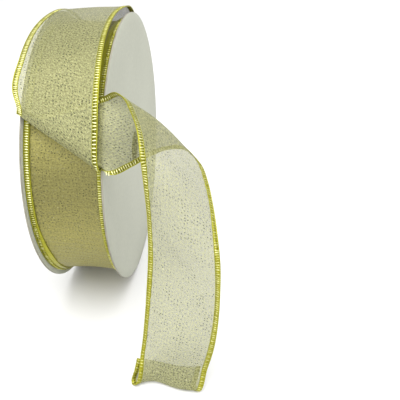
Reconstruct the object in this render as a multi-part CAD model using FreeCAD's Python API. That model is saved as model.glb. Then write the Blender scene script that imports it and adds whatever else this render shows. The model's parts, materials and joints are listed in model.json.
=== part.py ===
"""Ribbon spool: two board flanges on a board core, wound with wire-edged gauze ribbon.

The row's frame: origin at the middle of the spindle hole, +X along the spool's axis towards
the flange that the loose end passes, +Z up, -Y towards the side where the tail hangs.
The spool stands on its two rims, on a surface at Z = -FLANGE_RADIUS.
"""
import FreeCAD, Part
import math
import os

# Driving dimensions, in millimetres and degrees.
FLANGE_RADIUS = 76.0        # a 6 inch spool
FLANGE_THICKNESS = 0.9      # white-lined board
SPOOL_WIDTH = 40.0          # over the two flanges
SPINDLE_HOLE_RADIUS = 9.5   # 3/4 inch hole
CORE_RADIUS = 30.0
CORE_WALL = 2.5
GLUE_BEAD = 1.5             # leg of the glue's triangular section
TAPE_WIDTH = 18.0
TAPE_THICKNESS = 0.3
TAPE_ANGLE = 70.0
RIBBON_WIDTH = 38.0         # 1 1/2 inch ribbon
EDGE_WIDTH = 2.4            # the stitched gold edge, its wire included
WIRE_WIDTH = 0.6            # the wire with its wrapping, along the outermost border
WOUND_WEB_RADIUS = 72.2
WOUND_EDGE_RADIUS = 73.5    # the stitched edges build up higher than the gauze
WEB_THICKNESS = 0.6         # plain solids for the gauze: the real cloth is thinner
EDGE_THICKNESS = 0.8
WIRE_THICKNESS = 0.6
WIRE_FLOOR_GAP = 2.0        # the loose wires end this far above the surface

HALF_WIDTH = SPOOL_WIDTH / 2
INNER_HALF = HALF_WIDTH - FLANGE_THICKNESS
WOUND_INNER_RADIUS = CORE_RADIUS + TAPE_THICKNESS
HALF_RIBBON = RIBBON_WIDTH / 2
EDGE_FRACTION = EDGE_WIDTH / RIBBON_WIDTH
WIRE_FRACTION = WIRE_WIDTH / RIBBON_WIDTH

X_AXIS = FreeCAD.Vector(1, 0, 0)
FOLDER = "parts"


def ring(x_low, x_high, r_inner, r_outer):
    """A ring about the spool's axis, from x_low to x_high."""
    base = FreeCAD.Vector(x_low, 0, 0)
    outer = Part.makeCylinder(r_outer, x_high - x_low, base, X_AXIS)
    inner = Part.makeCylinder(r_inner, x_high - x_low, base, X_AXIS)
    return outer.cut(inner)


def flange(side):
    """One board disc: side is -1 for the left flange and +1 for the right one."""
    ends = sorted((side * INNER_HALF, side * HALF_WIDTH))
    return ring(ends[0], ends[1], SPINDLE_HOLE_RADIUS, FLANGE_RADIUS)


def core_tube():
    """The board tube between the two flanges."""
    return ring(-INNER_HALF, INNER_HALF, CORE_RADIUS - CORE_WALL, CORE_RADIUS)


def glue_bead(side):
    """A fillet of glue in the corner of the core's bore and a flange."""
    r_bore = CORE_RADIUS - CORE_WALL
    x_face = side * INNER_HALF
    corners = [
        FreeCAD.Vector(x_face, 0, r_bore),
        FreeCAD.Vector(x_face, 0, r_bore - GLUE_BEAD),
        FreeCAD.Vector(x_face - side * GLUE_BEAD, 0, r_bore),
    ]
    face = Part.Face(Part.makePolygon(corners + corners[:1]))
    return face.revolve(FreeCAD.Vector(0, 0, 0), X_AXIS, 360)


def start_tape():
    """The tape that holds the ribbon's inner end on the core, an arc over the tube's top."""
    band = ring(-TAPE_WIDTH / 2, TAPE_WIDTH / 2, CORE_RADIUS, CORE_RADIUS + TAPE_THICKNESS)
    reach = 2 * CORE_RADIUS
    half_angle = math.radians(TAPE_ANGLE / 2)
    side_reach = reach * math.tan(half_angle)
    wedge_corners = [
        FreeCAD.Vector(-TAPE_WIDTH, 0, 0),
        FreeCAD.Vector(-TAPE_WIDTH, -side_reach, reach),
        FreeCAD.Vector(-TAPE_WIDTH, side_reach, reach),
    ]
    wedge_face = Part.Face(Part.makePolygon(wedge_corners + wedge_corners[:1]))
    wedge = wedge_face.extrude(FreeCAD.Vector(2 * TAPE_WIDTH, 0, 0))
    return band.common(wedge)


def wound_web():
    """The wound gauze between its two stitched edges."""
    half_web = HALF_RIBBON - EDGE_WIDTH
    return ring(-half_web, half_web, WOUND_INNER_RADIUS, WOUND_WEB_RADIUS)


def wound_edge(side):
    """All the turns of one stitched gold edge, stacked."""
    ends = sorted((side * (HALF_RIBBON - EDGE_WIDTH), side * HALF_RIBBON))
    return ring(ends[0], ends[1], WOUND_INNER_RADIUS, WOUND_EDGE_RADIUS)


def on_spool(x, radius, angle):
    """A point round the spool: angle runs from the top towards -Y, in degrees."""
    turn = math.radians(angle)
    return FreeCAD.Vector(x, -radius * math.sin(turn), radius * math.cos(turn))


def turn_station(left, right):
    """A station of the loose turn from (x, radius, angle) of its left and right borders."""
    a = on_spool(*left)
    b = on_spool(*right)
    middle = [(p + q) / 2 for p, q in zip(left, right)]
    return a, b, on_spool(*middle) - (a + b) / 2


def free_station(left, right, crown=(0, 0, 0)):
    """A station of the free length: its two borders, and how far its middle stands off their chord."""
    return FreeCAD.Vector(*left), FreeCAD.Vector(*right), FreeCAD.Vector(*crown)


# The loose turn lifts off the pack behind the top, slides left over the rim, and ends on a
# slanting crease in front.
LOOSE_TURN = [
    turn_station((-18.3, 74.3, -42), (18.4, 74.3, -42)),
    turn_station((-18.3, 75.4, -26), (18.4, 75.6, -26)),
    turn_station((-19.4, 77.3, -12), (18.2, 77.8, -12)),
    turn_station((-22.2, 77.4, 2), (16.6, 78.6, 2)),
    turn_station((-22.8, 78.6, 18), (16.1, 79.0, 20)),
    turn_station((-22.9, 79.8, 34), (17.3, 79.8, 40)),
    turn_station((-22.4, 79.6, 46), (18.8, 81, 58)),
    turn_station((-20.6, 78.6, 53), (19.7, 79.9, 72.5)),
]

# Beyond the crease the ribbon runs to the right beneath the loose turn, past the rim, up to a crest.
CROSSING = [
    free_station((-20.4, -61.5, 46.3), (19.6, -73.5, 23), (0, -1.2, 0.7)),
    free_station((-11.7, -62.3, 45.2), (25.3, -75.1, 22), (0, -2.2, 0.4)),
    free_station((-0.7, -60.6, 47.4), (33, -68.6, 23), (0.5, -4.9, 1.5)),
    free_station((10.3, -58.6, 50.1), (41.6, -61.5, 26), (1, -6.4, 1.6)),
    free_station((18.5, -57.5, 52.8), (49.5, -59.5, 28.5), (1.2, -5.8, 1.2)),
    free_station((27.4, -65.2, 58.2), (57.9, -61.2, 29.2), (1.5, -1, 1.5)),
]

# Beyond the crest it bows forwards and hangs to the surface.
TAIL = [
    free_station((32.2, -70.8, 57.6), (62.4, -65.8, 27.9), (1.5, 0.3, 1.5)),
    free_station((36, -77.1, 54.8), (66.2, -70.8, 26.2), (0.5, 0.1, 0.6)),
    free_station((40.5, -86.7, 49.8), (69.9, -79.1, 21.7), (0.3, -0.1, 0.3)),
    free_station((42.7, -94.2, 42.1), (72.5, -87.2, 16.1), (1.6, -1.1, 1.7)),
    free_station((43.6, -94, 26.7), (75.4, -98.1, 8.1), (0.2, -4.5, 2)),
    free_station((44, -93, 11), (77.4, -106.5, -1.5), (-1, -2.5, 0)),
    free_station((43.4, -93, -8.4), (77.6, -108.2, -18), (0.2, 0.3, 0)),
    free_station((42, -95, -27.8), (76.8, -108.5, -35.3), (0, -0.5, 0.2)),
    free_station((40.8, -97.6, -43.1), (75.2, -108.5, -49.2), (-1.1, -3.5, 1.2)),
    free_station((39, -102.5, -60), (72, -107.5, -64), (-1.2, -3, 1.2)),
    free_station((35.5, -108.5, -75.5), (68.5, -110.5, -75.5), (-1, 3, 0)),
]

# Its last centimetre is turned back up behind it.
TURNED_END = [
    free_station((33.8, -106.3, -75.5), (66.8, -108, -75.5), (-1, 3, 0)),
    free_station((35, -103, -70), (68.2, -106.5, -70.5), (0, 0.5, 0.5)),
    free_station((36, -100.2, -64.5), (69.2, -104, -65), (0, -1.5, 0.5)),
]


def across(station, fraction):
    """The point at a fraction of the ribbon's width, on a station's crowned line."""
    a, b, crown = station
    return a + (b - a) * fraction + crown * (4 * fraction * (1 - fraction))


def section(stations, index, fractions, thickness):
    """The upper and lower corner points of a strip's cross-section at one station."""
    before = stations[max(index - 1, 0)]
    after = stations[min(index + 1, len(stations) - 1)]
    width_way = across(stations[index], 1) - across(stations[index], 0)
    upper = []
    lower = []
    for fraction in fractions:
        along = across(after, fraction) - across(before, fraction)
        normal = along.cross(width_way)
        normal.normalize()
        point = across(stations[index], fraction)
        upper.append(point + normal * (thickness / 2))
        lower.append(point - normal * (thickness / 2))
    return upper, lower


def long_curves(corner_rows, parameters):
    """One smooth curve along the strip for each corner of its sections."""
    curves = []
    for points in zip(*corner_rows):
        curve = Part.BSplineCurve()
        curve.interpolate(Points=list(points), Parameters=parameters)
        curves.append(curve)
    return curves


def ruled_face(first, second):
    """The face ruled between two curves with the same knots."""
    surface = Part.BSplineSurface()
    surface.buildFromPolesMultsKnots(
        [list(pair) for pair in zip(first.getPoles(), second.getPoles())],
        first.getMultiplicities(), [2, 2], first.getKnots(), [0.0, 1.0],
        False, False, first.Degree, 1)
    return surface.toShape()


def end_faces(corners):
    """The faces that close a strip at one of its end sections."""
    upper, lower = corners
    faces = []
    for j in range(len(upper) - 1):
        top_line = Part.makeLine(upper[j], upper[j + 1])
        bottom_line = Part.makeLine(lower[j], lower[j + 1])
        faces.append(Part.makeRuledSurface(top_line, bottom_line))
    return faces


def strip(stations, first, last, fractions, thickness):
    """A solid strip through stations first to last, whose normals come from the whole run."""
    sections = [section(stations, i, fractions, thickness) for i in range(first, last + 1)]
    middles = [across(stations[i], 0.5) for i in range(first, last + 1)]
    parameters = [0.0]
    for here, there in zip(middles, middles[1:]):
        parameters.append(parameters[-1] + here.distanceToPoint(there))
    upper = long_curves([rows[0] for rows in sections], parameters)
    lower = long_curves([rows[1] for rows in sections], parameters)
    faces = [ruled_face(upper[0], lower[0]), ruled_face(upper[-1], lower[-1])]
    for curves in (upper, lower):
        faces += [ruled_face(p, q) for p, q in zip(curves, curves[1:])]
    faces += end_faces(sections[0]) + end_faces(sections[-1])
    shell = Part.makeShell(faces)
    shell.sewShape()
    solid = Part.makeSolid(shell)
    if solid.Volume < 0:
        solid.reverse()
    return solid


WEB_FRACTIONS = [EDGE_FRACTION, 0.5, 1 - EDGE_FRACTION]
LEFT_EDGE_FRACTIONS = [WIRE_FRACTION, EDGE_FRACTION]
RIGHT_EDGE_FRACTIONS = [1 - EDGE_FRACTION, 1 - WIRE_FRACTION]
LEFT_WIRE_FRACTIONS = [0, WIRE_FRACTION]
RIGHT_WIRE_FRACTIONS = [1 - WIRE_FRACTION, 1]


def stretches():
    """The loose length as named runs: (name, stations, first, last)."""
    free = CROSSING + TAIL
    crest = len(CROSSING) - 1
    return [
        ("loose_turn", LOOSE_TURN, 0, len(LOOSE_TURN) - 1),
        ("crossing", free, 0, crest),
        ("tail", free, crest, len(free) - 1),
        ("turned_end", TURNED_END, 0, len(TURNED_END) - 1),
    ]


def edge_wire(fractions):
    """The fine wire along one border of the whole loose length, one solid for each run."""
    reach = 3 * FLANGE_RADIUS
    corner = FreeCAD.Vector(-reach / 2, -reach / 2, -FLANGE_RADIUS - reach + WIRE_FLOOR_GAP)
    near_surface = Part.makeBox(reach, reach, reach, corner)
    runs = []
    for name, stations, first, last in stretches():
        run = strip(stations, first, last, fractions, WIRE_THICKNESS)
        runs += run.cut(near_surface).Solids
    return Part.makeCompound(runs)


def build():
    """Every node's shape, by name."""
    nodes = {
        "left_flange": flange(-1),
        "right_flange": flange(1),
        "core_tube": core_tube(),
        "left_glue_bead": glue_bead(-1),
        "right_glue_bead": glue_bead(1),
        "start_tape": start_tape(),
        "wound_web": wound_web(),
        "wound_left_edge": wound_edge(-1),
        "wound_right_edge": wound_edge(1),
        "loose_left_wire": edge_wire(LEFT_WIRE_FRACTIONS),
        "loose_right_wire": edge_wire(RIGHT_WIRE_FRACTIONS),
    }
    for name, stations, first, last in stretches():
        nodes[name + "_web"] = strip(stations, first, last, WEB_FRACTIONS, WEB_THICKNESS)
        nodes[name + "_left_edge"] = strip(stations, first, last, LEFT_EDGE_FRACTIONS, EDGE_THICKNESS)
        nodes[name + "_right_edge"] = strip(stations, first, last, RIGHT_EDGE_FRACTIONS, EDGE_THICKNESS)
    return nodes


os.makedirs(FOLDER, exist_ok=True)
for node, shape in build().items():
    box = shape.BoundBox
    print(f"{node:22s} solids {len(shape.Solids)} valid {shape.isValid()} volume {shape.Volume:9.1f}"
          f"  x {box.XMin:6.1f} {box.XMax:6.1f}  y {box.YMin:6.1f} {box.YMax:6.1f}"
          f"  z {box.ZMin:6.2f} {box.ZMax:6.2f}")
    shape.exportStep(f"{FOLDER}/{node}.step")
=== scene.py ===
"""A ribbon spool: board flanges wound with sheer wire-edged gauze, its loose end hanging.

Run as a script inside Blender. Everything is in metres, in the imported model's own frame:
+X along the spool's axis, +Z up, and the loose end hangs towards -Y.
"""

import json
import math

import bpy
import numpy as np
from mathutils import Matrix, Vector


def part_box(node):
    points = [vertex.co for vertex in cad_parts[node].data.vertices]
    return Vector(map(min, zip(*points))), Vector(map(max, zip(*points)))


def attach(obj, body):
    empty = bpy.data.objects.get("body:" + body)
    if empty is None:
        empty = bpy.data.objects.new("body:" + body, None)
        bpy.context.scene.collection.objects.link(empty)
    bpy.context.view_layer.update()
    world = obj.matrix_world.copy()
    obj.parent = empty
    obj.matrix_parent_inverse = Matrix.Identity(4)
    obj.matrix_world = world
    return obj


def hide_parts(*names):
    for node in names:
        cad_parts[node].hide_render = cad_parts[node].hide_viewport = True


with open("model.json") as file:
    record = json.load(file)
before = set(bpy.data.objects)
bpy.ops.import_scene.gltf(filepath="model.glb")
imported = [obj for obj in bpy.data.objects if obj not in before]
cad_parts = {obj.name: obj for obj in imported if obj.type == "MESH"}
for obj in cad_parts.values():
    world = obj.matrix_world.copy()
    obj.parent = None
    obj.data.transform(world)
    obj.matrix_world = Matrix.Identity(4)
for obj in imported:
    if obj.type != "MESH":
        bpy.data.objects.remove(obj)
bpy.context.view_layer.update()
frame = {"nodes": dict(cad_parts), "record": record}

bl_info = {
    "name": "Ribbon Spool",
    "version": (1, 0, 0),
    "blender": (4, 5, 0),
    "location": "View3D > Sidebar > Ribbon Spool",
    "description": "Builds a wound ribbon spool with its loose end",
    "category": "Add Mesh",
}

MM = 0.001

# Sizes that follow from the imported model.
FLANGE_LOW, FLANGE_HIGH = (Vector(corner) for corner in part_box("right_flange"))
WEB_HIGH = Vector(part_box("wound_web")[1])
EDGE_HIGH = Vector(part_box("wound_right_edge")[1])
FLANGE_RADIUS = FLANGE_HIGH.z
FLANGE_OUTER_X = FLANGE_HIGH.x
FLANGE_INNER_X = FLANGE_LOW.x
WOUND_WEB_RADIUS = WEB_HIGH.z
WOUND_EDGE_RADIUS = EDGE_HIGH.z
HALF_WEB = WEB_HIGH.x
HALF_RIBBON = EDGE_HIGH.x
CORE_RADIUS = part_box("core_tube")[1][2]
WOUND_BORE = CORE_RADIUS + 0.3 * MM
HOLE_RADIUS = frame["record"]["mounts"][0]["dims"]["r_mm"] * MM
SURFACE_Z = FLANGE_LOW.z


def linear(hex_colour):
    """An sRGB hex colour as the linear values that Blender's colours hold."""
    values = [int(hex_colour[i:i + 2], 16) / 255 for i in (1, 3, 5)]
    return tuple(v / 12.92 if v <= 0.04045 else ((v + 0.055) / 1.055) ** 2.4 for v in values)


def size(name, description, default, low=0.0, high=0.1):
    """A length property."""
    return bpy.props.FloatProperty(
        name=name, description=description, default=default, min=low, max=high,
        precision=5, subtype="DISTANCE", unit="LENGTH")


def colour(name, description, hex_colour):
    """A colour property whose default is an sRGB hex value."""
    return bpy.props.FloatVectorProperty(
        name=name, description=description, default=linear(hex_colour),
        size=3, min=0.0, max=1.0, subtype="COLOR")


class SpoolSizes(bpy.types.PropertyGroup):
    """Lengths that a user would change."""

    board_rounding: size("Board rounding", "Softened corner of the die-cut board", 0.14 * MM)
    board_warp: size("Board warp", "How far the rim of a board disc wanders sideways", 0.12 * MM)
    edge_width: size("Edge width", "Width of the stitched gold edge", 2.4 * MM)
    edge_thickness: size("Edge thickness", "Thickness of the stitched gold edge", 0.55 * MM)
    stack_spread: size("Stack spread", "How far the turns beneath stand inside the outer edge", 2.4 * MM)
    stack_lift: size("Stack lift", "How much higher the gold edges pile up in places", 1.3 * MM)
    stitch_pitch: size("Stitch pitch", "Distance from one wrapping stitch to the next", 1.25 * MM, 0.0004)
    stitch_thread: size("Stitch thread", "Width of one wrapping stitch", 0.62 * MM)
    wire_radius: size("Wire radius", "Radius of the wrapped wire in the outer border", 0.3 * MM)
    thread_spacing: size("Thread spacing", "Distance between neighbouring gauze threads", 0.6 * MM, 0.0001)
    # The gauze's dark specks are painted shade, one small opaque cell each.
    speck_spacing: size("Speck spacing", "Distance between the gauze's pinholes", 1.6 * MM, 0.0002)
    pucker: size("Pucker", "How deep the gauze puckers along its stitched edges", 0.22 * MM)


class SpoolColours(bpy.types.PropertyGroup):
    """Colours that a user would change."""

    board_face: colour("Board face", "White-lined outside of the flanges", "#B2B4A5")
    board_core: colour("Board core", "Grey middle ply, bare at the cut rim", "#8C897C")
    # Darker than the board's own brown: painted shade for the inside of the core's bore.
    bore_shaded_kraft: colour("Kraft board", "The core tube's spiral-wound board", "#5A4C38")
    glue: colour("Glue", "Dried glue beads", "#D9D2B4")
    tape: colour("Tape", "Paper tape at the ribbon's start", "#D8CFAE")
    gauze_thread: colour("Gauze thread", "Metallised gauze thread", "#949466")
    wound_thread: colour("Wound gauze thread", "The thread where many turns lie on each other", "#918B49")
    # Painted highlight: bright glints mixed into the gauze's colour.
    gauze_painted_glint: colour("Gauze glint", "Brightest slubs in the gauze", "#E4E2AE")
    gauze_shadow: colour("Gauze shadow", "Dark specks between the threads", "#20260A")
    gold_thread: colour("Gold thread", "Metallic wrapping thread", "#B2AF30")
    gold_glint: colour("Gold glint", "The wrapping stitches where they face the light", "#FFFFC4")
    # Painted shade: the gold thread's colour where it turns away from the light.
    gold_in_shade: colour("Deep gold", "The wrapping thread where it turns away", "#77781A")
    floor: colour("Floor", "Pale studio surface", "#E6E6E6")


# The loose length as stations across the ribbon, in millimetres: its left border, its right
# border, and how far its middle stands off the line between them.
def round_spool(left, right):
    """A station from (x, radius, angle) of both borders; the angle runs from the top towards -Y."""
    def place(x, radius, angle):
        turn = math.radians(angle)
        return np.array([x, -radius * math.sin(turn), radius * math.cos(turn)])
    a, b = place(*left), place(*right)
    middle = place(*[(p + q) / 2 for p, q in zip(left, right)])
    return a, b, middle - (a + b) / 2


def hanging(left, right, crown=(0, 0, 0)):
    """A station of the free length."""
    return np.array(left, float), np.array(right, float), np.array(crown, float)


LOOSE_TURN = [
    round_spool((-18.6, 71.6, -66), (18.6, 71.6, -66)),
    round_spool((-18.4, 73.0, -54), (18.4, 73.0, -54)),
    round_spool((-18.3, 74.3, -42), (18.4, 74.3, -42)),
    round_spool((-18.3, 75.4, -26), (18.4, 75.6, -26)),
    round_spool((-19.2, 76.8, -12), (18.9, 79.0, -12)),
    round_spool((-20.8, 76.9, 2), (16.6, 78.9, 2)),
    round_spool((-22.7, 77.8, 18), (16.1, 79.0, 20)),
    round_spool((-22.9, 79.8, 34), (17.3, 79.8, 40)),
    round_spool((-23.4, 79.9, 46), (18.8, 81, 58)),
    round_spool((-20.5, 78.8, 52.8), (19.7, 79.9, 72.5)),
]
CREASE_ROLL = [
    round_spool((-20.9, 77.7, 53.9), (19.9, 78, 73.4)),
]
CROSSING = [
    hanging((-20.4, -61.5, 46.3), (19.6, -73.5, 23), (0, -1.2, 0.7)),
    hanging((-11.7, -62.3, 45.2), (25.3, -75.1, 22), (0, -2.2, 0.4)),
    hanging((-0.7, -60.6, 47.4), (33, -68.6, 23), (0.5, -4.9, 1.5)),
    hanging((10.3, -58.6, 50.1), (41.6, -61.5, 26), (1, -6.4, 1.6)),
    hanging((18.5, -57.5, 52.8), (49.5, -59.5, 28.5), (1.2, -5.8, 1.2)),
    hanging((27.4, -65.2, 58.2), (57.9, -61.2, 29.2), (1.5, -1, 1.5)),
]
TAIL = [
    hanging((32.2, -70.8, 57.6), (62.4, -65.8, 27.9), (1.5, 0.3, 1.5)),
    hanging((36, -77.1, 54.8), (66.2, -70.8, 26.2), (0.5, 0.1, 0.6)),
    hanging((40.5, -86.7, 49.8), (69.9, -79.1, 21.7), (0.3, -0.1, 0.3)),
    hanging((42.7, -94.2, 42.1), (72.5, -87.2, 16.1), (1.6, -1.1, 1.7)),
    hanging((43.6, -94, 26.7), (75.4, -98.1, 8.1), (0.2, -4.5, 2)),
    hanging((44, -93, 11), (77.4, -106.5, -1.5), (-1, -2.5, 0)),
    hanging((43.4, -93, -8.4), (77.6, -108.2, -18), (0.2, 0.3, 0)),
    hanging((42, -95, -27.8), (76.8, -108.5, -35.3), (0, -0.5, 0.2)),
    hanging((40.8, -97.6, -43.1), (75.2, -108.5, -49.2), (-1.1, -3.5, 1.2)),
    hanging((39, -102.5, -60), (72, -107.5, -64), (-1.2, -3, 1.2)),
    hanging((35.8, -110.8, -75.1), (68.3, -111.5, -75.1), (-1, 1.9, 0)),
]
HEM_ROLL = [
    hanging((34.9, -110, -75.6), (67.4, -110.5, -75.6), (-1, 1.9, 0)),
]
TURNED_END = [
    hanging((34.5, -109, -75.1), (66.5, -109.3, -75.1), (-1, 1.9, 0)),
    hanging((35.7, -106.2, -70), (67.2, -107.6, -70.5), (0, 0.5, 0.5)),
    hanging((36.8, -103.4, -64.5), (68.4, -105.4, -65), (0, -1.5, 0.5)),
]
LOOSE_LENGTH = LOOSE_TURN + CREASE_ROLL + CROSSING + TAIL + HEM_ROLL + TURNED_END
# How well the stitches face the light: pairs of station number and glint, and round the wound
# ribbon pairs of angle in radians and glint.
LOOSE_GLINT = {
    "left": [(0, 0.1), (4, 0.1), (6, 0.35), (7, 0.6), (8, 0.75), (10, 0.3), (13, 0.3), (17, 0.35),
             (19, 0.6), (21, 0.45), (23, 0.25), (26, 0.1), (30, 0.1)],
    "right": [(0, 0.1), (5, 0.15), (6, 0.2), (7, 0.6), (8, 1.0), (9, 0.8), (10, 0.6), (12, 0.75), (15, 0.4),
              (18, 0.2), (23, 0.25), (26, 0.15), (30, 0.1)],
}
WOUND_GLINT = {
    -1: [(0, 0.1), (0.8, 0.4), (1.05, 0.95), (1.45, 0.7), (1.7, 0.15), (2.4, 0.05), (6.3, 0.1)],
    1: [(0, 0.1), (0.7, 0.15), (1.1, 0.4), (1.5, 0.2), (1.9, 0.05), (6.3, 0.1)],
}
# How far the turns beneath stand inside the outer one: pairs of angle and share of the spread.
WOUND_SPREAD = {
    -1: [(0, 0.6), (0.7, 0.15), (1.7, 0.2), (2.1, 1.0), (2.8, 0.8), (6.3, 0.6)],
    1: [(0, 1.0), (0.5, 1.0), (0.9, 0.4), (1.4, 0.1), (2.4, 0.35), (6.3, 1.0)],
}
# Where the gold edges pile up: pairs of angle and share of the lift.
WOUND_LIFT = {
    -1: [(0, 0), (6.3, 0)],
    1: [(0, 0.5), (0.2, 1), (0.7, 1), (1.1, 0), (5.9, 0), (6.3, 0.5)],
}
# How bright the wound gauze is round the spool: its threads turn away from the light in places.
WOUND_TONE = [(0, 1), (1.1, 1), (1.35, 0.7), (1.5, 0.7), (1.8, 1), (2.3, 1.04), (6.3, 1)]
# Distance between rows along the loose ribbon, and points across its gauze.
ROW_STEP = 0.6 * MM
WEB_COLUMNS = 18
# Ridges are shares of the radius that they stand on.
WIRE_RIDGE = 0.22
CORD_RADIUS = 0.22 * MM
CORD_RIDGE = 0.2


# ---------------------------------------------------------------- meshes

def grid_faces(rows, columns, closed=False):
    """Quads of a grid whose points run row by row; closed joins the last row to the first."""
    turns = rows if closed else rows - 1
    i, j = np.meshgrid(np.arange(turns), np.arange(columns - 1), indexing="ij")
    below = i * columns + j
    above = (i + 1) % rows * columns + j
    return np.stack([below, below + 1, above + 1, above], -1).reshape(-1, 4)


def make_piece(name, points, faces, materials, weave=None, tone=None, face_material=None):
    """A smooth-shaded mesh object with its materials and its weave and tone attributes."""
    mesh = bpy.data.meshes.new(name)
    mesh.from_pydata(np.asarray(points).tolist(), [], [list(map(int, f)) for f in faces])
    for material in materials:
        mesh.materials.append(material)
    if face_material is not None:
        mesh.polygons.foreach_set("material_index", np.asarray(face_material, np.int32))
    if weave is not None:
        layer = mesh.attributes.new("weave", "FLOAT_VECTOR", "POINT")
        layer.data.foreach_set("vector", np.asarray(weave, np.float32).ravel())
    if tone is not None:
        layer = mesh.attributes.new("tone", "FLOAT", "POINT")
        layer.data.foreach_set("value", np.asarray(tone, np.float32))
    mesh.polygons.foreach_set("use_smooth", [True] * len(mesh.polygons))
    mesh.update()
    piece = bpy.data.objects.new(name, mesh)
    bpy.context.scene.collection.objects.link(piece)
    return piece


def smooth_curve(points, at):
    """Points of a curve through the given ones, at each place in station numbers."""
    points = np.asarray(points, float)
    gaps = np.linalg.norm(np.diff(points, axis=0), axis=1)
    slopes = np.diff(points, axis=0) / gaps[:, None]
    tangents = np.empty_like(points)
    share = (gaps[:-1] / (gaps[:-1] + gaps[1:]))[:, None]
    tangents[1:-1] = slopes[:-1] * (1 - share) + slopes[1:] * share
    tangents[0], tangents[-1] = slopes[0], slopes[-1]
    k = np.clip(at.astype(int), 0, len(points) - 2)
    t = (at - k)[:, None]
    h = gaps[k][:, None]
    return ((2 * t**3 - 3 * t**2 + 1) * points[k] + (t**3 - 2 * t**2 + t) * h * tangents[k]
            + (3 * t**2 - 2 * t**3) * points[k + 1] + (t**3 - t**2) * h * tangents[k + 1])


def unit(vectors):
    """The same vectors at length one."""
    return vectors / np.linalg.norm(vectors, axis=-1, keepdims=True)


class Strip:
    """The loose ribbon's surface, in metres: rows run along it and fractions across it."""

    def __init__(self, stations, row_step):
        left, right, crown = (np.array([s[k] for s in stations]) * MM for k in range(3))
        middle = (left + right) / 2 + crown
        per_station = 60
        dense = np.linspace(0, len(stations) - 1, per_station * len(stations))
        run = smooth_curve(middle, dense)
        travelled = np.concatenate([[0], np.cumsum(np.linalg.norm(np.diff(run, axis=0), axis=1))])
        self.length = float(travelled[-1])
        rows = int(round(self.length / row_step)) + 1
        self.along = np.linspace(0, self.length, rows)
        at = np.interp(self.along, travelled, dense)
        self.left = smooth_curve(left, at)
        self.right = smooth_curve(right, at)
        self.crown = smooth_curve(middle, at) - (self.left + self.right) / 2
        # The hem doesn't lie straight: it stands back at the left and comes forwards at the right.
        hem_station = len(LOOSE_TURN) + len(CREASE_ROLL) + len(CROSSING) + len(TAIL)
        hem = travelled[per_station * hem_station]
        self.wave = np.outer(np.exp(-((self.along - hem) / (14 * MM)) ** 2), [0, 1.5 * MM, 0])
        self.station_at = np.interp(np.arange(len(stations)), dense, travelled)

    def line(self, fraction):
        """The surface's points along one fraction of the width."""
        bulge = 4 * fraction * (1 - fraction)
        wave = self.wave * math.sin(2 * math.pi * fraction)
        return self.left + (self.right - self.left) * fraction + self.crown * bulge + wave

    def axes(self, fraction):
        """Unit vectors along, across and off the surface, on one line of it."""
        along = unit(np.gradient(self.line(fraction), axis=0))
        step = 0.01
        across = self.line(min(fraction + step, 1)) - self.line(max(fraction - step, 0))
        off = unit(np.cross(across, along))
        return along, unit(np.cross(along, off)), off

    def at(self, values, distances):
        """Values known at each row, read at any distance along the ribbon."""
        return np.stack([np.interp(distances, self.along, values[:, k]) for k in range(3)], -1)


def tube(path, normals, sides_to, radius, ridge, pitch, along):
    """Points and faces of a wrapped wire: a tube whose surface carries two slow helical ridges."""
    sides = 10
    turn = np.linspace(0, 2 * math.pi, sides, endpoint=False)
    wound = 2 * math.pi * along[:, None] / pitch
    reach = radius * (1 + ridge * np.cos(2 * turn[None, :] - wound))
    ring = (normals[:, None] * np.cos(turn)[None, :, None]
            + sides_to[:, None] * np.sin(turn)[None, :, None])
    points = (path[:, None] + ring * reach[..., None]).reshape(-1, 3)
    faces = []
    for i in range(len(path) - 1):
        for j in range(sides):
            k = (j + 1) % sides
            faces.append((i * sides + j, i * sides + k, (i + 1) * sides + k, (i + 1) * sides + j))
    faces.append(tuple(range(sides))[::-1])
    last = (len(path) - 1) * sides
    faces.append(tuple(range(last, last + sides)))
    return points, faces


def stitches(starts, along, across, off, width, thread, thickness, glint, seed):
    """Wrapping stitches: one rounded bar for each start, lying across the edge.

    Gives points, faces and a tone for each point: glint is how well each stitch faces the light,
    and no two catch it quite alike.
    """
    rng = np.random.default_rng(seed)
    count = len(starts)
    sides = 8
    places = np.array([0.0, 0.1, 0.5, 0.9, 1.0])
    girth = np.array([0.35, 0.92, 1.0, 0.92, 0.35])
    turn = np.linspace(0, 2 * math.pi, sides, endpoint=False)
    lean = rng.normal(0, 0.08, count)
    across = unit(across + along * lean[:, None])
    half = thread / 2 * rng.uniform(0.86, 1.05, count)
    height = thickness / 2 * rng.uniform(0.9, 1.1, count)
    spine = starts[:, None] + across[:, None] * (places * width)[None, :, None]
    ring = (along[:, None, :] * (np.cos(turn)[None, :, None] * half[:, None, None])
            + off[:, None, :] * (np.sin(turn)[None, :, None] * height[:, None, None]))
    points = spine[:, :, None] + ring[:, None] * girth[None, :, None, None]
    faces = []
    per = len(places) * sides
    for k in range(count):
        base = k * per
        for p in range(len(places) - 1):
            for j in range(sides):
                n = (j + 1) % sides
                low, high = base + p * sides, base + (p + 1) * sides
                faces.append((low + j, high + j, high + n, low + n))
        faces.append(tuple(range(base, base + sides)))
        faces.append(tuple(range(base + per - sides, base + per))[::-1])
    tone = np.repeat(np.clip(glint + rng.uniform(-0.2, 0.2, count), 0, 1), per)
    return points.reshape(-1, 3), faces, tone


def joined(parts):
    """Several (points, faces, tone, material index) as one mesh's lists."""
    points, faces, tones, indices = [], [], [], []
    offset = 0
    for part_points, part_faces, part_tone, index in parts:
        points.append(part_points)
        tones.append(np.broadcast_to(part_tone, len(part_points)))
        faces += [tuple(int(v) + offset for v in face) for face in part_faces]
        indices += [index] * len(part_faces)
        offset += len(part_points)
    return np.concatenate(points), faces, np.concatenate(tones), indices


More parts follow.
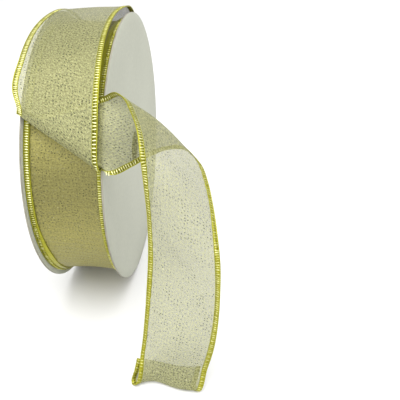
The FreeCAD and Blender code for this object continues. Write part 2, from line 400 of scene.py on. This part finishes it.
def round_axis(x, radius, angle):
    """Points about the spool's axis; the angle runs from the top towards -Y, in radians."""
    x, radius, angle = np.broadcast_arrays(x, radius, angle)
    return np.stack([x, -radius * np.sin(angle), radius * np.cos(angle)], -1)


# ---------------------------------------------------------------- materials

def add_node(tree, kind, settings=None, links=None):
    """Adds one node, sets its properties or unlinked sockets, and links its inputs."""
    node = tree.nodes.new(kind)
    for name, value in (settings or {}).items():
        if isinstance(name, int) or name in node.inputs:
            node.inputs[name].default_value = value
        else:
            setattr(node, name, value)
    for name, source in (links or {}).items():
        tree.links.new(source, node.inputs[name])
    return node


def new_material(name):
    """An empty node material and its tree, output and shader."""
    material = bpy.data.materials.new(name)
    material.use_nodes = True
    tree = material.node_tree
    tree.nodes.clear()
    output = add_node(tree, "ShaderNodeOutputMaterial")
    shader = add_node(tree, "ShaderNodeBsdfPrincipled")
    return material, tree, output, shader


def rgba(values):
    """A colour property as a socket's four values."""
    return (*values, 1.0)


def lined_board(colours):
    """White-lined chipboard, clay-coated and calendered: matt, with a faint fibre mottle."""
    material, tree, output, shader = new_material("lined_board")
    place = add_node(tree, "ShaderNodeTexCoord")
    # Fibres about 1 mm long are drawn 2 mm long, so that they show.
    fibre = add_node(tree, "ShaderNodeTexNoise",
                     {"Scale": 1 / (2.0 * MM), "Detail": 4.0, "Roughness": 0.65},
                     {"Vector": place.outputs["Object"]})
    cloud = add_node(tree, "ShaderNodeTexNoise", {"Scale": 1 / (38 * MM), "Detail": 2.0},
                     {"Vector": place.outputs["Object"]})
    tint = add_node(tree, "ShaderNodeValToRGB", None, {"Fac": fibre.outputs["Fac"]})
    face = np.array(colours.board_face)
    tint.color_ramp.elements[0].position = 0.3
    tint.color_ramp.elements[0].color = rgba(face * 0.93)
    tint.color_ramp.elements[1].position = 0.7
    tint.color_ramp.elements[1].color = rgba(face * 1.03)
    shade = add_node(tree, "ShaderNodeMapRange",
                     {"From Min": 0.3, "From Max": 0.7, "To Min": 0.95, "To Max": 1.02},
                     {"Value": cloud.outputs["Fac"]})
    mix = add_node(tree, "ShaderNodeMix", {"data_type": "RGBA", "blend_type": "MULTIPLY", "Factor": 1.0})
    tree.links.new(tint.outputs["Color"], mix.inputs["A"])
    tree.links.new(shade.outputs["Result"], mix.inputs["B"])
    bump = add_node(tree, "ShaderNodeBump", {"Strength": 0.25, "Distance": 0.04 * MM},
                    {"Height": fibre.outputs["Fac"]})
    shader.inputs["Roughness"].default_value = 0.62
    shader.inputs["Specular IOR Level"].default_value = 0.35
    tree.links.new(mix.outputs["Result"], shader.inputs["Base Color"])
    tree.links.new(bump.outputs["Normal"], shader.inputs["Normal"])
    tree.links.new(shader.outputs["BSDF"], output.inputs["Surface"])
    return material


def cut_board(colours):
    """Die-cut edge of grey chipboard: open, dull fibres in thin plies."""
    material, tree, output, shader = new_material("cut_board")
    place = add_node(tree, "ShaderNodeTexCoord")
    # Plies about 0.3 mm thick lie across the axis.
    plies = add_node(tree, "ShaderNodeTexWave",
                     {"wave_type": "BANDS", "bands_direction": "X", "Scale": 0.05 / (0.3 * MM),
                      "Distortion": 3.0, "Detail": 2.0},
                     {"Vector": place.outputs["Object"]})
    tint = add_node(tree, "ShaderNodeValToRGB", None, {"Fac": plies.outputs["Fac"]})
    core = np.array(colours.board_core)
    tint.color_ramp.elements[0].color = rgba(core * 0.7)
    tint.color_ramp.elements[1].color = rgba(core * 1.2)
    bump = add_node(tree, "ShaderNodeBump", {"Strength": 0.6, "Distance": 0.1 * MM},
                    {"Height": plies.outputs["Fac"]})
    shader.inputs["Roughness"].default_value = 0.9
    tree.links.new(tint.outputs["Color"], shader.inputs["Base Color"])
    tree.links.new(bump.outputs["Normal"], shader.inputs["Normal"])
    tree.links.new(shader.outputs["BSDF"], output.inputs["Surface"])
    return material


def plain_stock(name, base, spot_size, roughness, contrast):
    """Paper, board or dried glue: dull stock with a soft mottle of one spot size."""
    material, tree, output, shader = new_material(name)
    place = add_node(tree, "ShaderNodeTexCoord")
    spots = add_node(tree, "ShaderNodeTexNoise", {"Scale": 1 / spot_size, "Detail": 5.0},
                     {"Vector": place.outputs["Object"]})
    tint = add_node(tree, "ShaderNodeValToRGB", None, {"Fac": spots.outputs["Fac"]})
    base = np.array(base)
    tint.color_ramp.elements[0].position = 0.35
    tint.color_ramp.elements[0].color = rgba(base * (1 - contrast))
    tint.color_ramp.elements[1].position = 0.65
    tint.color_ramp.elements[1].color = rgba(np.minimum(base * (1 + contrast), 1))
    bump = add_node(tree, "ShaderNodeBump", {"Strength": 0.4, "Distance": 0.1 * MM},
                    {"Height": spots.outputs["Fac"]})
    shader.inputs["Roughness"].default_value = roughness
    tree.links.new(tint.outputs["Color"], shader.inputs["Base Color"])
    tree.links.new(bump.outputs["Normal"], shader.inputs["Normal"])
    tree.links.new(shader.outputs["BSDF"], output.inputs["Surface"])
    return material


def gauze(colours, sizes, name, sheer):
    """Metallised gauze in plain weave: pale threads, painted glints and a painted shade speck in every few.

    A sheer one lets a little over a quarter of what is behind it through, most of it between the
    threads; the wound one shows the turns beneath there, darker with painted shade, and has a
    tone of painted shade round the spool.
    """
    material, tree, output, shader = new_material(name)
    weave = add_node(tree, "ShaderNodeAttribute", {"attribute_type": "GEOMETRY", "attribute_name": "weave"})
    place = weave.outputs["Vector"]
    axes = add_node(tree, "ShaderNodeSeparateXYZ", None, {"Vector": place})
    # Real threads are about 0.3 mm apart; they are drawn twice as far apart, so that they show.
    waver = add_node(tree, "ShaderNodeTexNoise", {"Scale": 1 / (5 * MM), "Detail": 2.0}, {"Vector": place})
    threads = []
    for axis in ("X", "Y"):
        turns = add_node(tree, "ShaderNodeMath",
                         {"operation": "MULTIPLY", 1: 2 * math.pi / sizes.thread_spacing},
                         {0: axes.outputs[axis]})
        phase = add_node(tree, "ShaderNodeMath", {"operation": "MULTIPLY_ADD", 1: 9.0},
                         {0: waver.outputs["Fac"], 2: turns.outputs["Value"]})
        wave = add_node(tree, "ShaderNodeMath", {"operation": "SINE"}, {0: phase.outputs["Value"]})
        threads.append(add_node(tree, "ShaderNodeMapRange", {"From Min": -1.0, "From Max": 1.0},
                                {"Value": wave.outputs["Value"]}))
    cloth = add_node(tree, "ShaderNodeMath", {"operation": "MAXIMUM"},
                     {0: threads[0].outputs["Result"], 1: threads[1].outputs["Result"]})
    # Painted shade specks and painted glints: one small cell each, some of them much stronger than others.
    cells = add_node(tree, "ShaderNodeTexVoronoi",
                     {"voronoi_dimensions": "2D", "feature": "F1",
                      "Scale": 1 / sizes.speck_spacing, "Randomness": 0.7},
                     {"Vector": place})
    chance = add_node(tree, "ShaderNodeSeparateXYZ", None, {"Vector": cells.outputs["Color"]})
    patches = add_node(tree, "ShaderNodeTexNoise", {"Scale": 1 / (9 * MM), "Detail": 2.0}, {"Vector": place})
    where = add_node(tree, "ShaderNodeMapRange", {"From Min": 0.35, "From Max": 0.6, "To Min": 0.4},
                     {"Value": patches.outputs["Fac"]})
    spots = []
    for draw, low, high, near, far in (("X", 0.0, 0.4, 0.13, 0.26), ("Y", 0.6, 1.3, 0.1, 0.3)):
        strength = add_node(tree, "ShaderNodeMapRange", {"From Min": low, "From Max": high},
                            {"Value": chance.outputs[draw]})
        reach = add_node(tree, "ShaderNodeMapRange",
                         {"From Min": near, "From Max": far, "To Min": 1.0, "To Max": 0.0},
                         {"Value": cells.outputs["Distance"]})
        spot = add_node(tree, "ShaderNodeMath", {"operation": "MULTIPLY"},
                        {0: strength.outputs["Result"], 1: reach.outputs["Result"]})
        spots.append(add_node(tree, "ShaderNodeMath", {"operation": "MULTIPLY", "use_clamp": True},
                              {0: spot.outputs["Value"], 1: where.outputs["Result"]}))
    shade_speck, glint = (spot.outputs["Value"] for spot in spots)
    # Fine grain, about one and a half of the drawn threads in size.
    grain = add_node(tree, "ShaderNodeTexNoise",
                     {"Scale": 1 / (0.9 * MM), "Detail": 3.0, "Roughness": 0.75}, {"Vector": place})
    tint = add_node(tree, "ShaderNodeValToRGB", None, {"Fac": grain.outputs["Fac"]})
    thread = np.array(colours.gauze_thread if sheer else colours.wound_thread)
    tint.color_ramp.elements[0].position = 0.36
    tint.color_ramp.elements[0].color = rgba(thread * 0.6)
    tint.color_ramp.elements[1].position = 0.64
    tint.color_ramp.elements[1].color = rgba(np.minimum(thread * 1.42, 1))
    lit = add_node(tree, "ShaderNodeMix", {"data_type": "RGBA"})
    lit.inputs["B"].default_value = rgba(colours.gauze_painted_glint)
    tree.links.new(glint, lit.inputs["Factor"])
    tree.links.new(tint.outputs["Color"], lit.inputs["A"])
    specked = add_node(tree, "ShaderNodeMix", {"data_type": "RGBA"})
    specked.inputs["B"].default_value = rgba(colours.gauze_shadow)
    tree.links.new(shade_speck, specked.inputs["Factor"])
    tree.links.new(lit.outputs["Result"], specked.inputs["A"])
    bump = add_node(tree, "ShaderNodeBump", {"Strength": 0.5, "Distance": 0.12 * MM},
                    {"Height": cloth.outputs["Value"]})
    shader.inputs["Metallic"].default_value = 0.3
    shader.inputs["Roughness"].default_value = 0.45
    tree.links.new(bump.outputs["Normal"], shader.inputs["Normal"])
    if sheer:
        tree.links.new(specked.outputs["Result"], shader.inputs["Base Color"])
        cover = add_node(tree, "ShaderNodeMapRange",
                         {"From Min": 0.4, "From Max": 1.0, "To Min": 0.27, "To Max": 0.66},
                         {"Value": cloth.outputs["Value"]})
        uneven = add_node(tree, "ShaderNodeMath", {"operation": "MULTIPLY_ADD", 1: 0.45},
                          {0: grain.outputs["Fac"], 2: cover.outputs["Result"]})
        filled = add_node(tree, "ShaderNodeMath", {"operation": "MAXIMUM"},
                          {0: uneven.outputs["Value"], 1: shade_speck})
        tree.links.new(filled.outputs["Value"], shader.inputs["Alpha"])
    else:
        # Painted shade: between the threads the turns beneath show darker.
        gap_in_shade = add_node(tree, "ShaderNodeMix", {"data_type": "RGBA"})
        gap_in_shade.inputs["A"].default_value = rgba(thread * 0.7)
        tree.links.new(cloth.outputs["Value"], gap_in_shade.inputs["Factor"])
        tree.links.new(specked.outputs["Result"], gap_in_shade.inputs["B"])
        turned = add_node(tree, "ShaderNodeAttribute",
                          {"attribute_type": "GEOMETRY", "attribute_name": "tone"})
        shaded = add_node(tree, "ShaderNodeMix",
                          {"data_type": "RGBA", "blend_type": "MULTIPLY", "Factor": 1.0})
        tree.links.new(gap_in_shade.outputs["Result"], shaded.inputs["A"])
        tree.links.new(turned.outputs["Fac"], shaded.inputs["B"])
        tree.links.new(shaded.outputs["Result"], shader.inputs["Base Color"])
    tree.links.new(shader.outputs["BSDF"], output.inputs["Surface"])
    return material


def metallic_thread(name, dull, bright):
    """Gold metallised film wound round a thread: bright, with painted highlight and painted shade from its
    tone, and each stitch a little different.
    """
    material, tree, output, shader = new_material(name)
    place = add_node(tree, "ShaderNodeTexCoord")
    tone = add_node(tree, "ShaderNodeAttribute", {"attribute_type": "GEOMETRY", "attribute_name": "tone"})
    # The film's own twist, about 0.4 mm long, is drawn 0.9 mm long, so that it shows.
    twist = add_node(tree, "ShaderNodeTexNoise", {"Scale": 1 / (0.9 * MM), "Detail": 3.0},
                     {"Vector": place.outputs["Object"]})
    both = add_node(tree, "ShaderNodeMath", {"operation": "ADD"},
                    {0: tone.outputs["Fac"], 1: twist.outputs["Fac"]})
    spread = add_node(tree, "ShaderNodeMapRange", {"From Min": 0.45, "From Max": 1.45},
                      {"Value": both.outputs["Value"]})
    tint = add_node(tree, "ShaderNodeValToRGB", None, {"Fac": spread.outputs["Result"]})
    tint.color_ramp.elements[0].color = rgba(dull)
    tint.color_ramp.elements[1].color = rgba(bright)
    bump = add_node(tree, "ShaderNodeBump", {"Strength": 0.3, "Distance": 0.1 * MM},
                    {"Height": twist.outputs["Fac"]})
    shader.inputs["Metallic"].default_value = 0.75
    shader.inputs["Roughness"].default_value = 0.32
    tree.links.new(tint.outputs["Color"], shader.inputs["Base Color"])
    tree.links.new(bump.outputs["Normal"], shader.inputs["Normal"])
    tree.links.new(shader.outputs["BSDF"], output.inputs["Surface"])
    return material


def gold_threads(colours, place):
    """The gold edge's three finishes: wrapping stitches, cords along them, and the band beneath, dark with
    painted shade.
    """
    shaded_gold, thread = np.array(colours.gold_in_shade), np.array(colours.gold_thread)
    return [metallic_thread(f"gold_stitches_{place}", thread * 0.72, np.array(colours.gold_glint)),
            metallic_thread(f"gold_cord_{place}", shaded_gold, thread),
            metallic_thread(f"gold_band_beneath_{place}", shaded_gold * 0.2, thread * 0.7)]


def studio_surface(colours):
    """A sheet of pale matt laminate."""
    material, tree, output, shader = new_material("studio_surface")
    shader.inputs["Base Color"].default_value = rgba(colours.floor)
    shader.inputs["Roughness"].default_value = 0.8
    tree.links.new(shader.outputs["BSDF"], output.inputs["Surface"])
    return material


# ---------------------------------------------------------------- pieces

def settings(context):
    """The scene's sizes and colours."""
    return context.scene.ribbon_sizes, context.scene.ribbon_colours


class SPOOL_OT_flanges(bpy.types.Operator):
    """Build the two die-cut board discs"""

    bl_idname = "ribbon_spool.flanges"
    bl_label = "Flanges"

    def execute(self, context):
        sizes, colours = settings(context)
        materials = [lined_board(colours), cut_board(colours)]
        for side, name in ((-1, "left_flange"), (1, "right_flange")):
            self.disc(side, name, sizes, materials)
        return {"FINISHED"}

    def disc(self, side, name, sizes, materials):
        """One disc: softened corners at the rim and the hole, and a rim that wanders a little."""
        soft = sizes.board_rounding
        inner, outer = FLANGE_INNER_X, FLANGE_OUTER_X
        rings = 14
        radii = np.linspace(HOLE_RADIUS + soft, FLANGE_RADIUS - soft, rings)
        profile = [(inner + soft, HOLE_RADIUS)] + [(inner, r) for r in radii]
        profile += [(inner + soft, FLANGE_RADIUS), (outer - soft, FLANGE_RADIUS)]
        profile += [(outer, r) for r in radii[::-1]] + [(outer - soft, HOLE_RADIUS)]
        profile = np.array(profile + profile[:1])
        segments = 240
        angle = np.linspace(0, 2 * math.pi, segments, endpoint=False)[:, None]
        reach = (profile[None, :, 1] / FLANGE_RADIUS) ** 3
        warp = sizes.board_warp * reach * (np.sin(2 * angle + side) + 0.4 * np.sin(5 * angle + 2))
        points = round_axis(side * (profile[None, :, 0] - np.abs(warp)), profile[None, :, 1], angle)
        faces = grid_faces(segments, len(profile), closed=True)
        if side > 0:
            faces = faces[:, ::-1]
        column = np.tile(np.arange(len(profile) - 1), segments)
        bare = (column == 0) | (np.abs(column - (rings + 1)) <= 1) | (column == len(profile) - 2)
        piece = make_piece(f"{name}_board", points.reshape(-1, 3), faces, materials,
                           face_material=bare.astype(int))
        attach(piece, "spool")
        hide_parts(name)


class SPOOL_OT_core(bpy.types.Operator):
    """Finish the core tube, its glue beads and the start tape"""

    bl_idname = "ribbon_spool.core"
    bl_label = "Core"

    def execute(self, context):
        _, colours = settings(context)
        # The core board's colour holds painted shade for the inside of the bore.
        bore_shaded_kraft = plain_stock("spiral_kraft_board", colours.bore_shaded_kraft, 1.5 * MM, 0.85, 0.25)
        glue = plain_stock("dried_glue", colours.glue, 2 * MM, 0.35, 0.12)
        tape = plain_stock("paper_tape", colours.tape, 1 * MM, 0.55, 0.1)
        finishes = {"core_tube": bore_shaded_kraft, "left_glue_bead": glue, "right_glue_bead": glue, "start_tape": tape}
        for name, material in finishes.items():
            mesh = frame["nodes"][name].data
            mesh.materials.clear()
            mesh.materials.append(material)
        return {"FINISHED"}


class SPOOL_OT_wound_ribbon(bpy.types.Operator):
    """Build the wound gauze and its two stacks of stitched gold edge"""

    bl_idname = "ribbon_spool.wound_ribbon"
    bl_label = "Wound ribbon"

    def execute(self, context):
        sizes, colours = settings(context)
        self.web(gauze(colours, sizes, "wound_gauze", sheer=False))
        golds = gold_threads(colours, "wound")
        for side, name in ((-1, "left"), (1, "right")):
            self.edge(side, name, sizes, golds)
        return {"FINISHED"}

    def web(self, material):
        """The outermost turn over the wound ones: soft swells, and sunk towards mid-width."""
        segments, columns = 900, 30
        angle = np.linspace(0, 2 * math.pi, segments, endpoint=False)[:, None]
        x = np.linspace(-HALF_WEB, HALF_WEB, columns)[None]
        swell = 0.22 * np.sin(7 * angle + 90 * x) + 0.16 * np.sin(17 * angle - 140 * x)
        swell = swell + 0.1 * np.sin(31 * angle + 300 * x) + 0.12 * np.sin(113 * angle - 200 * x)
        sink = 1.1 * MM * (1 - (x / HALF_WEB) ** 2)
        pull = np.exp(-(HALF_WEB - np.abs(x)) / (3 * MM))
        pucker = 0.2 * pull * np.sin(74 * angle + 4 * np.sign(x))
        radius = WOUND_WEB_RADIUS - 0.35 * MM - sink + (swell + pucker) * MM * 0.6
        outer = round_axis(x, radius, angle)
        weave = np.stack(np.broadcast_arrays(x, angle * WOUND_WEB_RADIUS, 0.0), -1).reshape(-1, 3)
        bore = round_axis(x[:, ::-1], WOUND_BORE, angle)
        points = np.concatenate([outer, bore], axis=1).reshape(-1, 3)
        weave = weave.reshape(segments, columns, 3)
        both = np.concatenate([weave, weave[:, ::-1]], axis=1)
        width = 2 * columns
        i = np.arange(segments)[:, None]
        after = (i + 1) % segments
        j = np.arange(width)[None]
        k = (j + 1) % width
        faces = np.stack([i * width + j, i * width + k, after * width + k, after * width + j], -1)
        tone = np.repeat(np.interp(angle[:, 0], *np.transpose(WOUND_TONE)), width)
        piece = make_piece("wound_gauze", points, faces.reshape(-1, 4), [material],
                           weave=both.reshape(-1, 3), tone=tone)
        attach(piece, "spool")
        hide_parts("wound_web")

    def edge(self, side, name, sizes, materials):
        """One stack: the turns beneath as a ridged ring, and the outer turn's stitches and wire."""
        def reach(at):
            """The outer turn's radius at each angle: the edges pile up more in some places."""
            lift = sizes.stack_lift * np.interp(at, *np.transpose(WOUND_LIFT[side]))
            return WOUND_EDGE_RADIUS - sizes.edge_thickness / 2 + lift

        thick = sizes.edge_thickness
        outer_x, inner_x = HALF_RIBBON, HALF_RIBBON - sizes.edge_width
        segments = 360
        angle = np.linspace(0, 2 * math.pi, segments, endpoint=False)
        # The turns beneath don't lie quite edge on edge, so their borders show as fine ridges.
        spread = sizes.stack_spread * np.interp(angle, *np.transpose(WOUND_SPREAD[side]))[:, None]
        spread_x = inner_x - spread
        count = 20
        share = np.linspace(0, 1, count)[None]
        ridges = (outer_x - 0.2 * MM) * (1 - share) + spread_x * share
        fall = 0.12 + 0.1 * (np.arange(count) % 2)[None] + 0.8 * share**2
        radius = reach(angle)[:, None]
        tops = radius - fall * MM
        bottom = np.full_like(spread, WOUND_BORE)
        border = np.full_like(spread, outer_x)
        ring_x = np.concatenate([spread_x, border, border, ridges, spread_x, spread_x], 1)
        ring_r = np.concatenate([bottom, bottom, radius - 0.5 * thick, tops, radius - 2 * thick, bottom], 1)
        body = round_axis(side * ring_x, ring_r, angle[:, None])
        # Painted light and shade on the turns beneath: lighter where they spread further, darker where they
        # stand close.
        body_painted_light = np.repeat(0.25 + 0.4 * spread[:, 0] / sizes.stack_spread, ring_x.shape[1])
        faces = grid_faces(segments, ring_x.shape[1], closed=True)
        if side < 0:
            faces = faces[:, ::-1]
        count = int(round(2 * math.pi * WOUND_EDGE_RADIUS / sizes.stitch_pitch))
        turns = np.linspace(0, 2 * math.pi, count, endpoint=False)
        along = np.stack([np.zeros_like(turns), -np.cos(turns), -np.sin(turns)], -1)
        off = round_axis(0.0, 1.0, turns)
        across = np.tile([float(side), 0, 0], (count, 1))
        starts = round_axis(side * (inner_x - 0.1 * MM), reach(turns), turns)
        glint = np.interp(turns, *np.transpose(WOUND_GLINT[side]))
        bars, bar_faces, tone = stitches(starts, along, across, off, sizes.edge_width - 0.5 * MM,
                                         sizes.stitch_thread, thick, glint, 11 + side)
        loop = np.linspace(0, 2 * math.pi, 900)
        path = round_axis(side * (outer_x - sizes.wire_radius - 0.05 * MM), reach(loop) - 0.1 * MM, loop)
        normals = round_axis(0.0, 1.0, loop)
        wire, wire_faces = tube(path, normals, np.tile([1.0, 0, 0], (len(loop), 1)), sizes.wire_radius,
                                WIRE_RIDGE, sizes.stitch_pitch, loop * WOUND_EDGE_RADIUS)
        points, faces, tones, index = joined([(body.reshape(-1, 3), faces, body_painted_light, 1),
                                              (bars, bar_faces, tone, 0),
                                              (wire, wire_faces, 0.4, 1)])
        piece = make_piece(f"wound_{name}_stitching", points, faces, materials,
                           tone=tones, face_material=index)
        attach(piece, "spool")
        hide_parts(f"wound_{name}_edge")


class SPOOL_OT_loose_end(bpy.types.Operator):
    """Build the loose turn, its fold across the front, the tail and its turned-under end"""

    bl_idname = "ribbon_spool.loose_end"
    bl_label = "Loose end"

    def execute(self, context):
        sizes, colours = settings(context)
        strip = Strip(LOOSE_LENGTH, ROW_STEP)
        golds = gold_threads(colours, "loose")
        trims = []
        for side in ("left", "right"):
            trims.append(self.edge(strip, side, sizes, golds))
            trims.append(self.wire(strip, side, sizes, golds[1]))
        self.web(strip, sizes, gauze(colours, sizes, "sheer_gauze", sheer=True), trims)
        return {"FINISHED"}

    def web(self, strip, sizes, material, trims):
        """The gauze between the edges: gentle swells, and a pucker where the stitching gathers it."""
        inset = sizes.edge_width / (2 * HALF_RIBBON)
        fractions = np.linspace(inset, 1 - inset, WEB_COLUMNS)
        rows = []
        for fraction in fractions:
            off = strip.axes(fraction)[2]
            from_edge = min(fraction, 1 - fraction) * 2 * HALF_RIBBON
            gathered = sizes.pucker * math.exp(-from_edge / (4 * MM))
            s = strip.along
            ripple = gathered * np.sin(2 * math.pi * s / (5.2 * MM) + 9 * (fraction > 0.5))
            swell = 0.3 * MM * np.sin(2 * math.pi * s / (31 * MM) + 5 * fraction)
            swell = swell * math.sin(math.pi * fraction)
            rows.append(strip.line(fraction) + off * (ripple + swell)[:, None])
        points = np.stack(rows, 1)
        weave = np.zeros_like(points)
        weave[..., 0] = fractions[None] * 2 * HALF_RIBBON
        weave[..., 1] = strip.along[:, None]
        faces = grid_faces(len(strip.along), WEB_COLUMNS)
        piece = make_piece("loose_gauze", points.reshape(-1, 3), faces, [material],
                           weave=weave.reshape(-1, 3))
        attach(piece, "loose_end")
        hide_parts("loose_turn_web", "crossing_web", "tail_web", "turned_end_web")

    def border(self, side):
        """The fraction at a side's border, and the fraction's direction into the ribbon."""
        return (0.0, 1.0) if side == "left" else (1.0, -1.0)

    def edge(self, strip, side, sizes, materials):
        """The stitched edge: a band of turned-over gauze, its wrapping stitches and an inner cord."""
        start, inward = self.border(side)
        share = sizes.edge_width / (2 * HALF_RIBBON)
        fractions = start + inward * share * np.array([0.12, 0.5, 1.0])
        lines = np.stack([strip.line(f) for f in fractions], 1)
        along, across, off = strip.axes(fractions[1])
        lift = off * (0.12 * MM)
        sheet = np.concatenate([lines + lift[:, None], (lines - lift[:, None])[:, ::-1]], 1)
        width = sheet.shape[1]
        faces = []
        for i in range(len(strip.along) - 1):
            for j in range(width):
                k = (j + 1) % width
                faces.append((i * width + j, i * width + k, (i + 1) * width + k, (i + 1) * width + j))
        last = (len(strip.along) - 1) * width
        faces += [tuple(range(width))[::-1], tuple(range(last, last + width))]
        count = int(strip.length / sizes.stitch_pitch)
        places = (np.arange(count) + 0.5) * sizes.stitch_pitch
        starts = strip.at(strip.line(fractions[2]), places)
        ahead = unit(strip.at(along, places))
        outward = strip.at(strip.line(fractions[0]), places) - starts
        outward = unit(outward - ahead * np.sum(outward * ahead, axis=1, keepdims=True))
        glint = np.interp(np.arange(len(LOOSE_LENGTH)), *np.transpose(LOOSE_GLINT[side]))
        seed = 23 if side == "left" else 29
        bars, bar_faces, tone = stitches(starts, ahead, outward, strip.at(off, places),
                                         sizes.edge_width * 0.86, sizes.stitch_thread, sizes.edge_thickness,
                                         np.interp(places, strip.station_at, glint), seed)
        # The band beneath lies in shade where its stitches stand up and glint.
        shade = 1 - 0.8 * np.interp(strip.along, strip.station_at, glint)
        cord, cord_faces = tube(lines[:, 2], off, across, CORD_RADIUS, CORD_RIDGE,
                                sizes.stitch_pitch, strip.along)
        points, faces, tones, index = joined([(sheet.reshape(-1, 3), faces, np.repeat(shade, width), 2),
                                              (bars, bar_faces, tone, 0),
                                              (cord, cord_faces, 0.3, 1)])
        piece = make_piece(f"loose_{side}_stitching", points, faces, materials,
                           tone=tones, face_material=index)
        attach(piece, "loose_end")
        runs = ("loose_turn", "crossing", "tail", "turned_end")
        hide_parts(*[f"{run}_{side}_edge" for run in runs])
        return piece

    def wire(self, strip, side, sizes, material):
        """The wrapped wire along the outermost border."""
        start, inward = self.border(side)
        fraction = start + inward * 0.5 * sizes.wire_radius / HALF_RIBBON
        _, across, off = strip.axes(fraction)
        points, faces = tube(strip.line(fraction), off, across, sizes.wire_radius, WIRE_RIDGE,
                             sizes.stitch_pitch, strip.along)
        piece = make_piece(f"loose_{side}_wrapped_wire", points, faces, [material],
                           tone=np.full(len(points), 0.5))
        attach(piece, "loose_end")
        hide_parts(f"loose_{side}_wire")
        return piece


class SPOOL_OT_stage(bpy.types.Operator):
    """Set up the pale surface, the soft light and the camera"""

    bl_idname = "ribbon_spool.stage"
    bl_label = "Stage"

    # The camera in the spool's frame: its place in millimetres and its angles in degrees.
    camera_place = (89.58, -311.69, 151.34)
    turned_left = 5.77
    looking_down = 30.61
    rolled = 0.45
    lens_mm = 53.57

    def execute(self, context):
        _, colours = settings(context)
        self.surface(colours)
        self.lights(context)
        self.camera(context)
        return {"FINISHED"}

    def surface(self, colours):
        """A wide pale surface under the spool's two rims."""
        reach = 6.0
        corners = [(-reach, -reach, SURFACE_Z), (reach, -reach, SURFACE_Z),
                   (reach, reach, SURFACE_Z), (-reach, reach, SURFACE_Z)]
        floor = make_piece("studio_surface", corners, [(0, 1, 2, 3)], [studio_surface(colours)])

    def lights(self, context):
        """An even white surround, a broad lamp overhead and a weaker one at the camera's left."""
        world = bpy.data.worlds.new("white_surround")
        world.use_nodes = True
        world.node_tree.nodes["Background"].inputs["Color"].default_value = (1, 1, 1, 1)
        world.node_tree.nodes["Background"].inputs["Strength"].default_value = 1.0
        context.scene.world = world
        context.scene.view_settings.view_transform = "Standard"
        for name, place, power, width in (
                ("overhead_softbox", (0.1, -0.35, 0.95), 10.5, 0.9),
                ("front_softbox", (-0.55, -0.85, 0.45), 3.0, 0.7)):
            lamp = bpy.data.lights.new(name, "AREA")
            lamp.energy = power
            lamp.size = width
            holder = bpy.data.objects.new(name, lamp)
            holder.location = place
            aim = Vector((0.03, -0.03, 0)) - Vector(place)
            holder.rotation_euler = aim.to_track_quat("-Z", "Y").to_euler()
            context.scene.collection.objects.link(holder)

    def camera(self, context):
        """The camera, at the front right and looking down on the spool."""
        lens = bpy.data.cameras.new("camera")
        lens.lens = self.lens_mm
        lens.sensor_width = 36.0
        lens.clip_start, lens.clip_end = 0.01, 30.0
        holder = bpy.data.objects.new("camera", lens)
        turn = (Matrix.Rotation(math.radians(self.turned_left), 4, "Z")
                @ Matrix.Rotation(math.radians(-self.looking_down), 4, "X")
                @ Matrix.Rotation(math.radians(self.rolled), 4, "Y")
                @ Matrix.Rotation(math.radians(90), 4, "X"))
        holder.matrix_world = Matrix.Translation(Vector(self.camera_place) * MM) @ turn
        context.scene.collection.objects.link(holder)
        context.scene.camera = holder


class SPOOL_PT_panel(bpy.types.Panel):
    """The spool's pieces, sizes and colours."""

    bl_idname = "SPOOL_PT_panel"
    bl_label = "Ribbon Spool"
    bl_space_type = "VIEW_3D"
    bl_region_type = "UI"
    bl_category = "Ribbon Spool"

    def draw(self, context):
        for operator in OPERATORS:
            self.layout.operator(operator.bl_idname)
        for group in settings(context):
            box = self.layout.box()
            for name in group.__annotations__:
                box.prop(group, name)


OPERATORS = (SPOOL_OT_flanges, SPOOL_OT_core, SPOOL_OT_wound_ribbon, SPOOL_OT_loose_end, SPOOL_OT_stage)
CLASSES = (SpoolSizes, SpoolColours, *OPERATORS, SPOOL_PT_panel)


def register():
    """Register the classes and hang the settings on the scene."""
    for cls in CLASSES:
        bpy.utils.register_class(cls)
    bpy.types.Scene.ribbon_sizes = bpy.props.PointerProperty(type=SpoolSizes)
    bpy.types.Scene.ribbon_colours = bpy.props.PointerProperty(type=SpoolColours)


def unregister():
    """Take the settings and the classes away again."""
    del bpy.types.Scene.ribbon_colours
    del bpy.types.Scene.ribbon_sizes
    for cls in reversed(CLASSES):
        bpy.utils.unregister_class(cls)


def main():
    """Build every piece and the stage."""
    register()
    bpy.ops.ribbon_spool.flanges()
    bpy.ops.ribbon_spool.core()
    bpy.ops.ribbon_spool.wound_ribbon()
    bpy.ops.ribbon_spool.loose_end()
    bpy.ops.ribbon_spool.stage()


if __name__ == "__main__":
    main()
